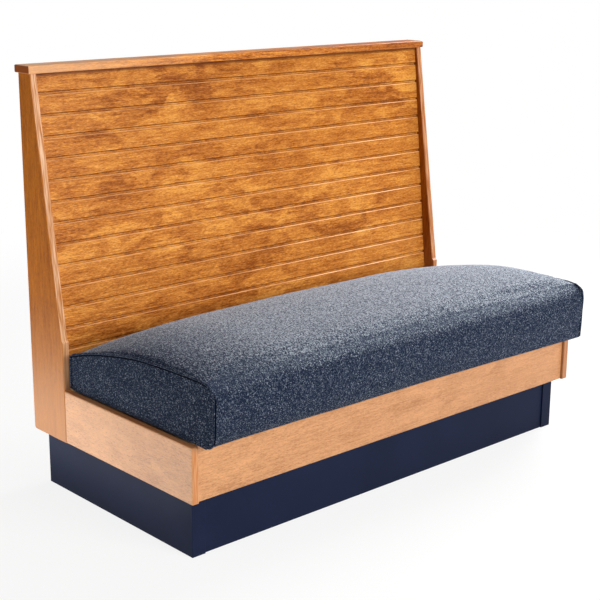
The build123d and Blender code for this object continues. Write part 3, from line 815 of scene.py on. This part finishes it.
class BOOTH_OT_cushion(bpy.types.Operator):
    """Blows up the seat's tweed cover over its crowned form, and rolls a seam round each end"""
    bl_idname = "booth.cushion"
    bl_label = "Cushion"

    def execute(self, context):
        build = context.scene.booth_cushion
        tweed = wool_tweed()
        sewn_gutter()
        cushion = self.start(context)
        self.inflate(context, cushion, build)
        self.subdivide(cushion)
        paths = [self.seam_path(sign) for sign in (-1, 1)]
        self.gather(cushion, paths, build)
        self.turn_under(cushion, build)
        cushion.data.materials.append(tweed)
        cushion.data.polygons.foreach_set("use_smooth", [True] * len(cushion.data.polygons))
        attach(cushion, "seat")
        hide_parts("seat_cover", "seat_foam")
        for path, side in zip(paths, ("left", "right")):
            seam = self.roll_seam(context, path, "seat_seam_" + side, build)
            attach(seam, "seat")
        return {"FINISHED"}

    def start(self, context):
        """A block divided into even faces and drawn to the cushion's form."""
        bpy.ops.object.select_all(action="DESELECT")
        bpy.ops.mesh.primitive_cube_add(size=2)
        cushion = context.object
        cushion.name = "seat_cushion"
        bpy.ops.object.mode_set(mode="EDIT")
        for axis, cuts in enumerate(CUSHION_CUTS):
            shell = bmesh.from_edit_mesh(cushion.data)
            # The edges that run along one axis are divided, one axis after another.
            for edge in shell.edges:
                run = edge.verts[0].co - edge.verts[1].co
                edge.select_set(abs(run[axis]) > 0.9 * run.length)
            bmesh.update_edit_mesh(cushion.data)
            bpy.ops.mesh.subdivide(number_cuts=cuts)
        bpy.ops.object.mode_set(mode="OBJECT")
        for vertex in cushion.data.vertices:
            vertex.co = cushion_place(*vertex.co)
        return cushion

    def seam_path(self, sign):
        """The edge of one end, from its rear foot over the top to its front foot."""
        steps = SEAM_STEPS
        rear = [cushion_place(sign, 1, 2 * number / steps - 1) for number in range(steps)]
        top = [cushion_place(sign, 1 - number / steps, 1) for number in range(2 * steps)]
        front = [cushion_place(sign, -1, 1 - 2 * number / steps) for number in range(steps + 1)]
        return rear + top + front

    def tucked(self, path, height):
        """A seam's path that ends some way above the underside, with both feet drawn into the cushion."""
        middle = Vector((path[0].x * 0.97, (CUSHION_LOW.y + CUSHION_HIGH.y) / 2, CUSHION_LOW.z + height))
        shown = [point for point in path if point.z > CUSHION_LOW.z + height]
        return [shown[0].lerp(middle, FOOT_TUCK)] + shown + [shown[-1].lerp(middle, FOOT_TUCK)]

    def search_tree(self, points):
        """Points ready to be searched for the nearest one."""
        search = KDTree(len(points))
        for number, point in enumerate(points):
            search.insert(point, number)
        search.balance()
        return search

    def inflate(self, context, cushion, build):
        """Cloth blown up from inside, held at the seams and the underside, and kept within its swell."""
        count = len(cushion.data.vertices)
        rest = np.empty(count * 3)
        cushion.data.vertices.foreach_get("co", rest)
        rest = rest.reshape(-1, 3)
        at_end = abs(rest[:, 0]) > CUSHION_HALF - END_DEPTH
        paths = [point for sign in (-1, 1) for point in self.seam_path(sign)]
        search = self.search_tree(paths)
        near = np.array([search.find(place)[2] for place in rest])
        fixed = (near < HELD_AT_SEAM) | (rest[:, 2] < CUSHION_LOW.z + HELD_AT_FOOT)
        held = cushion.vertex_groups.new(name="held")
        held.add([int(number) for number in np.nonzero(fixed)[0]], 1.0, "REPLACE")
        cloth = cushion.modifiers.new("cover", "CLOTH")
        for name, value in CLOTH.items():
            setattr(cloth.settings, name, value)
        cloth.settings.uniform_pressure_force = build.pressure
        cloth.settings.vertex_group_mass = held.name
        cloth.settings.effector_weights.gravity = 0
        cloth.point_cache.frame_start = 1
        cloth.point_cache.frame_end = CLOTH_FRAMES
        for number in range(1, CLOTH_FRAMES + 1):
            context.scene.frame_set(number)
        bpy.ops.object.modifier_apply(modifier=cloth.name)
        context.scene.frame_set(1)
        blown = np.empty(count * 3)
        cushion.data.vertices.foreach_get("co", blown)
        move = blown.reshape(-1, 3) - rest
        distance = np.linalg.norm(move, axis=1)
        at_rear = rest[:, 1] > CUSHION_HIGH.y - REAR_DEPTH
        limit = np.where(at_end | at_rear, build.end_swell, build.swell)
        move *= np.minimum(1, limit / np.maximum(distance, 1e-9))[:, None]
        move = self.evened(cushion, move, fixed)
        cushion.data.vertices.foreach_set("co", (rest + move).ravel())
        cushion.vertex_groups.clear()

    def evened(self, cushion, move, fixed):
        """The swelling evened out over the neighbours, as thick foam evens out its cover."""
        edges = np.empty(len(cushion.data.edges) * 2, int)
        cushion.data.edges.foreach_get("vertices", edges)
        first, second = edges.reshape(-1, 2).T
        shared = np.bincount(edges, minlength=len(move))[:, None]
        for _ in range(EVENING_STEPS):
            total = np.zeros_like(move)
            np.add.at(total, first, move[second])
            np.add.at(total, second, move[first])
            move = np.where(fixed[:, None], 0, 0.5 * move + 0.5 * total / shared)
        return move

    def subdivide(self, cushion):
        """Halves the faces once."""
        finer = cushion.modifiers.new("finer", "SUBSURF")
        finer.levels = finer.render_levels = 1
        bpy.ops.object.modifier_apply(modifier=finer.name)

    def gather(self, cushion, paths, build):
        """Small gathers beside the seams, and the slight unevenness of a hand-filled seat."""
        search = self.search_tree([point for path in paths for point in path])
        moves = []
        for vertex in cushion.data.vertices:
            distance = search.find(vertex.co)[2]
            wave = noise.noise(vertex.co * Vector(GATHER_GRAIN))
            near = math.exp(-distance / GATHER_FADE) * (1 - math.exp(-distance / GATHER_START))
            above = min(1, max(0, vertex.co.z - CUSHION_LOW.z - CALM_FOOT) / CALM_RISE)
            broad = noise.noise(vertex.co * BROAD_GRAIN) * BROAD_DEPTH * above
            moves.append(vertex.normal * (wave * near * build.pucker * GATHER_GAIN * above + broad))
        for vertex, move in zip(cushion.data.vertices, moves):
            vertex.co += move

    def turn_under(self, cushion, build):
        """The underside: cloth turned in under the deck all round, and the deck bare inside it."""
        deck_low, deck_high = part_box("seat_deck")
        width = build.cover_return - FOAM_PLAY
        low = Vector((deck_low.x + width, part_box("seat_front_board")[1].y, 0))
        high = deck_high - Vector((width, width, 0))
        shell = bmesh.new()
        shell.from_mesh(cushion.data)
        for axis in (0, 1):
            for place in (low, high):
                under = [face for face in shell.faces if self.is_under(face)]
                geometry = list(dict.fromkeys(
                    part for face in under for part in (face, *face.edges, *face.verts)))
                normal = Vector((axis == 0, axis == 1, 0))
                bmesh.ops.bisect_plane(shell, geom=geometry, plane_co=place, plane_no=normal, dist=0.001 * MM)
        inner = []
        for face in shell.faces:
            centre = face.calc_center_median()
            if self.is_under(face) and low.x < centre.x < high.x and low.y < centre.y < high.y:
                inner.append(face)
        raised = bmesh.ops.extrude_face_region(shell, geom=inner)
        bmesh.ops.delete(shell, geom=inner, context="FACES")
        for part in raised["geom"]:
            if isinstance(part, bmesh.types.BMVert):
                part.co.z = DECK_UNDERSIDE + DECK_RECESS
        shell.to_mesh(cushion.data)
        shell.free()

    def is_under(self, face):
        """Whether a face is part of the flat underside."""
        return face.normal.z < -0.9 and face.calc_center_median().z < DECK_UNDERSIDE

    def roll_seam(self, context, path, name, build):
        """A rolled seam round one end, and beside it the gutter: a dark tube of painted shadow for the sewn
        fold.

        The gutter lies below the seam along the top, before it at the left front, and out of sight behind it
        at the right end.
        """
        radius = build.bead / 2
        outward = math.copysign(1, path[0].x)
        bead, gutter = [], []
        for before, point, after in zip([path[0]] + path, path, path[1:] + [path[-1]]):
            level = abs((after - before).normalized().y)
            front = (1 - level) * (point.y < 0) * (outward < 0)
            hidden = (1 - level) * (outward > 0)
            bead.append(point + Vector((
                outward * radius * (BEAD_OUT * (1 - level) - hidden), 0, radius * BEAD_UP * level)))
            inner = -math.copysign(GUTTER_BEHIND, point.y)
            gutter.append(point + Vector((
                outward * radius * (GUTTER_OUT - GUTTER_BACK * front),
                radius * (inner * hidden - GUTTER_BEFORE * front), -radius * GUTTER_DOWN * level)))
        seam = self.tube(context, self.tucked(bead, SEAM_FOOT), radius, name)
        line = self.tube(context, self.tucked(gutter, GUTTER_FOOT), build.gutter / 2, name + "_gutter")
        bpy.ops.object.select_all(action="DESELECT")
        seam.select_set(True)
        line.select_set(True)
        context.view_layer.objects.active = seam
        seam.data.materials.append(bpy.data.materials["wool_tweed"])
        line.data.materials.append(bpy.data.materials["sewn_gutter"])
        bpy.ops.object.join()
        seam.data.polygons.foreach_set("use_smooth", [True] * len(seam.data.polygons))
        return seam

    def tube(self, context, points, radius, name):
        """A closed tube along points."""
        curve = bpy.data.curves.new(name, "CURVE")
        curve.dimensions = "3D"
        spline = curve.splines.new("POLY")
        spline.points.add(len(points) - 1)
        for place, point in zip(spline.points, points):
            place.co = (*point, 1)
        curve.bevel_depth = radius
        curve.bevel_resolution = 3
        curve.use_fill_caps = True
        piece = bpy.data.objects.new(name, curve)
        context.collection.objects.link(piece)
        bpy.ops.object.select_all(action="DESELECT")
        piece.select_set(True)
        context.view_layer.objects.active = piece
        bpy.ops.object.convert(target="MESH")
        return context.object


class BOOTH_PT_sidebar(bpy.types.Panel):
    """Lists the booth's operators and settings"""
    bl_idname = "BOOTH_PT_sidebar"
    bl_label = "Restaurant booth seat"
    bl_space_type = "VIEW_3D"
    bl_region_type = "UI"
    bl_category = "Booth"

    def draw(self, context):
        for operator in OPERATORS:
            self.layout.operator(operator.bl_idname)
        for name in GROUPS:
            box = self.layout.box()
            group = getattr(context.scene, name)
            for entry in group.bl_rna.properties.keys()[2:]:
                box.prop(group, entry)


OPERATORS = (BOOTH_OT_stage, BOOTH_OT_back_face, BOOTH_OT_panels, BOOTH_OT_top_cap, BOOTH_OT_toe_kick,
             BOOTH_OT_carcass, BOOTH_OT_cushion)
GROUPS = {
    "booth_wood": BoothWood, "booth_fittings": BoothFittings, "booth_cloth": BoothCloth,
    "booth_cushion": BoothCushion, "booth_stage": BoothStage}


def register():
    """Registers the settings, the operators and the panel."""
    for name, group in GROUPS.items():
        bpy.utils.register_class(group)
        setattr(bpy.types.Scene, name, bpy.props.PointerProperty(type=group))
    for operator in OPERATORS:
        bpy.utils.register_class(operator)
    bpy.utils.register_class(BOOTH_PT_sidebar)


def unregister():
    """Takes the panel, the operators and the settings away."""
    bpy.utils.unregister_class(BOOTH_PT_sidebar)
    for operator in reversed(OPERATORS):
        bpy.utils.unregister_class(operator)
    for name, group in reversed(GROUPS.items()):
        delattr(bpy.types.Scene, name)
        bpy.utils.unregister_class(group)


def main():
    """Builds every piece in order."""
    register()
    bpy.ops.booth.stage()
    bpy.ops.booth.back_face()
    bpy.ops.booth.panels()
    bpy.ops.booth.top_cap()
    bpy.ops.booth.toe_kick()
    bpy.ops.booth.carcass()
    bpy.ops.booth.cushion()


if __name__ == "__main__":
    main()
